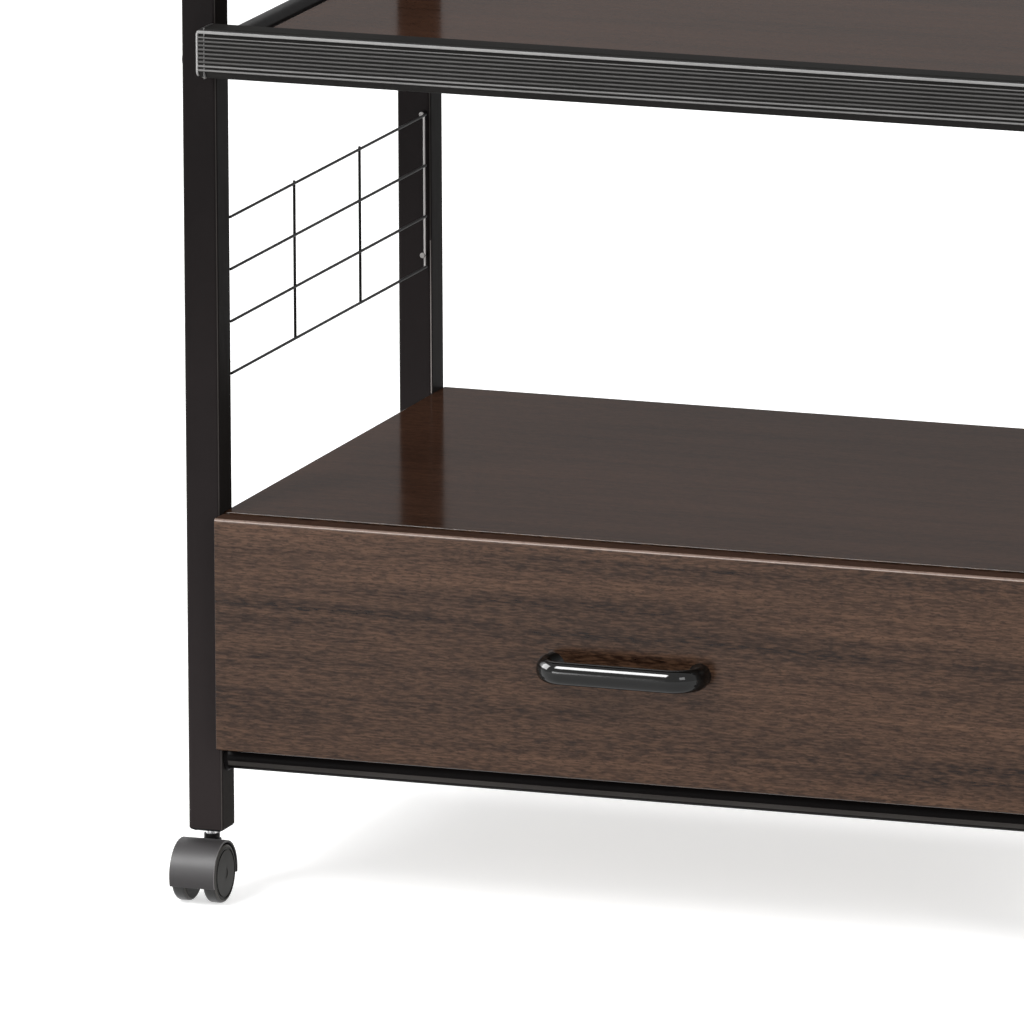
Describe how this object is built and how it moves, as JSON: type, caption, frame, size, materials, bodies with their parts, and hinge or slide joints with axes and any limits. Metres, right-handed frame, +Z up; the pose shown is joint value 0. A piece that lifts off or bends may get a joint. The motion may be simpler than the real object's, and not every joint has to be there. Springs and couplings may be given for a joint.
{
  "type": "kitchen cart",
  "caption": "Rolling kitchen cart: square-tube frame, open shelves with grooved front mouldings, wire side grids and a drawer cabinet on swivel casters.",
  "frame": {"origin": "floor level under the middle of the cart's bounding box", "axes": "+X to the cart's right as seen from the front, +Y to the back, +Z up; the drawer opens towards -Y"},
  "size_m": [0.658, 0.485, 1.04],
  "materials": {
    "post_steel": "satin black paint",
    "tube_steel": "satin black paint",
    "wire_steel": "satin black paint on wire",
    "black_plastic": "moulded",
    "walnut_board": "dark walnut laminate, semi-gloss",
    "drawer_box": "foil-wrapped board",
    "moulding_plastic": "extruded, satin",
    "end_cap_plastic": "moulded, satin",
    "handle_plastic": "gloss black",
    "runner_steel": "powder coat",
    "screw_steel": "zinc plated",
    "bolt_steel": "black oxide",
    "stem_steel": "black oxide",
    "hood_plastic": "moulded grey",
    "wheel_plastic": "moulded, hard tread"
  },
  "bodies": {
    "frame": {"post_fl": "post_steel", "post_fr": "post_steel", "post_rl": "post_steel", "post_rr": "post_steel", "post_caps": "black_plastic", "foot_plugs": "black_plastic", "rail_front": "tube_steel", "rail_rear": "tube_steel", "rail_left": "tube_steel", "rail_right": "tube_steel", "mid_tube_left": "tube_steel", "mid_tube_right": "tube_steel", "mid_tube_rear": "tube_steel", "top_tube_left": "tube_steel", "top_tube_right": "tube_steel", "top_tube_rear": "tube_steel", "shelf_bolts": "bolt_steel", "frame_screws": "screw_steel", "grid_left": "wire_steel", "grid_right": "wire_steel", "mid_board": "walnut_board", "mid_moulding": "moulding_plastic", "mid_end_caps": "end_cap_plastic", "top_board": "walnut_board", "top_moulding": "moulding_plastic", "top_end_caps": "end_cap_plastic", "cabinet_top": "walnut_board", "cabinet_left": "walnut_board", "cabinet_right": "walnut_board", "cabinet_back": "walnut_board", "runner_left": "runner_steel", "runner_right": "runner_steel", "caster_stems": "stem_steel"},
    "drawer": {"drawer_front": "walnut_board", "drawer_left": "drawer_box", "drawer_right": "drawer_box", "drawer_back": "drawer_box", "drawer_bottom": "drawer_box", "slide_left": "runner_steel", "slide_right": "runner_steel", "handle": "handle_plastic", "handle_screws": "screw_steel"},
    "caster_fl": {"hood_fl": "hood_plastic", "axle_fl": "stem_steel"},
    "wheel_fl_l": {"wheel_fl_l": "wheel_plastic"},
    "wheel_fl_r": {"wheel_fl_r": "wheel_plastic"},
    "caster_fr": {"hood_fr": "hood_plastic", "axle_fr": "stem_steel"},
    "wheel_fr_l": {"wheel_fr_l": "wheel_plastic"},
    "wheel_fr_r": {"wheel_fr_r": "wheel_plastic"},
    "caster_rl": {"hood_rl": "hood_plastic", "axle_rl": "stem_steel"},
    "wheel_rl_l": {"wheel_rl_l": "wheel_plastic"},
    "wheel_rl_r": {"wheel_rl_r": "wheel_plastic"},
    "caster_rr": {"hood_rr": "hood_plastic", "axle_rr": "stem_steel"},
    "wheel_rr_l": {"wheel_rr_l": "wheel_plastic"},
    "wheel_rr_r": {"wheel_rr_r": "wheel_plastic"}
  },
  "joints": [
    {"name": "drawer_slide", "type": "slide", "parent": "frame", "child": "drawer", "axis": [0, -1, 0], "range_m": [0, 0.26]},
    {"name": "swivel_fl", "type": "hinge", "parent": "frame", "child": "caster_fl", "pos_m": [-0.3125, -0.185, 0.03], "axis": [0, 0, 1], "continuous": true},
    {"name": "roll_fl_l", "type": "hinge", "parent": "caster_fl", "child": "wheel_fl_l", "pos_m": [-0.3125, -0.202, 0.0205], "axis": [1, 0, 0], "continuous": true},
    {"name": "roll_fl_r", "type": "hinge", "parent": "caster_fl", "child": "wheel_fl_r", "pos_m": [-0.3125, -0.202, 0.0205], "axis": [1, 0, 0], "continuous": true},
    {"name": "swivel_fr", "type": "hinge", "parent": "frame", "child": "caster_fr", "pos_m": [0.3125, -0.185, 0.03], "axis": [0, 0, 1], "continuous": true},
    {"name": "roll_fr_l", "type": "hinge", "parent": "caster_fr", "child": "wheel_fr_l", "pos_m": [0.3125, -0.202, 0.0205], "axis": [1, 0, 0], "continuous": true},
    {"name": "roll_fr_r", "type": "hinge", "parent": "caster_fr", "child": "wheel_fr_r", "pos_m": [0.3125, -0.202, 0.0205], "axis": [1, 0, 0], "continuous": true},
    {"name": "swivel_rl", "type": "hinge", "parent": "frame", "child": "caster_rl", "pos_m": [-0.3125, 0.23, 0.03], "axis": [0, 0, 1], "continuous": true},
    {"name": "roll_rl_l", "type": "hinge", "parent": "caster_rl", "child": "wheel_rl_l", "pos_m": [-0.3125, 0.213, 0.0205], "axis": [1, 0, 0], "continuous": true},
    {"name": "roll_rl_r", "type": "hinge", "parent": "caster_rl", "child": "wheel_rl_r", "pos_m": [-0.3125, 0.213, 0.0205], "axis": [1, 0, 0], "continuous": true},
    {"name": "swivel_rr", "type": "hinge", "parent": "frame", "child": "caster_rr", "pos_m": [0.3125, 0.23, 0.03], "axis": [0, 0, 1], "continuous": true},
    {"name": "roll_rr_l", "type": "hinge", "parent": "caster_rr", "child": "wheel_rr_l", "pos_m": [0.3125, 0.213, 0.0205], "axis": [1, 0, 0], "continuous": true},
    {"name": "roll_rr_r", "type": "hinge", "parent": "caster_rr", "child": "wheel_rr_r", "pos_m": [0.3125, 0.213, 0.0205], "axis": [1, 0, 0], "continuous": true}
  ]
}
